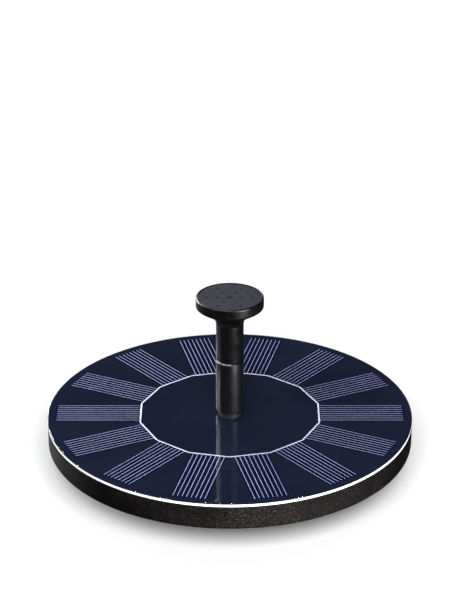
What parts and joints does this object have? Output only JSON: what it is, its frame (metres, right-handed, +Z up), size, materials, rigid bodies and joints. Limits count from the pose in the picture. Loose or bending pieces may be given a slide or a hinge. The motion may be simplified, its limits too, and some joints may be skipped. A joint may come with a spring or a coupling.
{
  "type": "fountain submersible pump",
  "caption": "Round floating solar fountain: solar disc on a float, submersible pump with strainer below it, and a two-piece riser tube with a perforated spray head.",
  "frame": {"origin": "middle of the flat underside of the pump's strainer cover, which the object stands on", "axes": "+Z up along the riser tube, -Y towards the front, and the rotor's own axis 15 mm to the -X side of the riser's"},
  "size_m": [0.16, 0.16, 0.0912],
  "materials": {
    "black_satin": "satin",
    "black_rough": "matte",
    "spray_face": "matte",
    "float_plastic": "matte",
    "pump_plastic": "satin",
    "foam": "matte",
    "board_white": "satin",
    "film_blue": "gloss",
    "cell_blue": "gloss",
    "silver_print": "satin",
    "clear_resin": "gloss",
    "rubber": "matte",
    "steel": "satin",
    "solder": "satin",
    "ceramic": "polished",
    "magnet": "satin",
    "impeller_plastic": "satin",
    "iron_sheet": "satin",
    "bobbin_plastic": "matte",
    "copper": "gloss",
    "circuit_board": "gloss",
    "chip_plastic": "matte",
    "resin_black": "gloss",
    "wire_red": "satin",
    "wire_black": "satin"
  },
  "bodies": {
    "float": {"volute_cover": "pump_plastic", "volute_gasket": "rubber", "volute_screws": "steel", "rotor_shaft": "ceramic", "thrust_washers": "ceramic", "motor_housing": "pump_plastic", "stator_core": "iron_sheet", "coil_bobbins": "bobbin_plastic", "stator_coils": "copper", "hall_sensor": "chip_plastic", "driver_board": "circuit_board", "driver_components": "chip_plastic", "potting_seal": "resin_black", "housing_screws": "steel", "wire_grommet": "rubber", "lead_wire_positive": "wire_red", "lead_wire_negative": "wire_black", "float_shell": "float_plastic", "float_foam": "foam", "duct_seal": "rubber", "panel_board": "board_white", "panel_film": "film_blue", "solar_cells": "cell_blue", "cell_fingers": "silver_print", "busbars": "silver_print", "contact_tabs": "solder", "panel_cover": "clear_resin"},
    "strainer": {"strainer_cover": "pump_plastic"},
    "rotor": {"impeller": "impeller_plastic", "rotor_magnet": "magnet", "rotor_bushes": "ceramic"},
    "riser": {"riser_tube": "black_satin"},
    "nozzle": {"spray_head": "black_rough", "spray_plate": "spray_face"}
  },
  "joints": [
    {"name": "rotor_spin", "type": "hinge", "parent": "float", "child": "rotor", "pos_m": [-0.015, 0, 0.014], "axis": [0, 0, 1], "continuous": true},
    {"name": "riser_pull", "type": "slide", "parent": "float", "child": "riser", "axis": [0, 0, 1], "range_m": [0, 0.012]},
    {"name": "nozzle_pull", "type": "slide", "parent": "riser", "child": "nozzle", "axis": [0, 0, 1], "range_m": [0, 0.012]},
    {"name": "strainer_pull", "type": "slide", "parent": "float", "child": "strainer", "axis": [0, 0, -1], "range_m": [0, 0.01]}
  ]
}
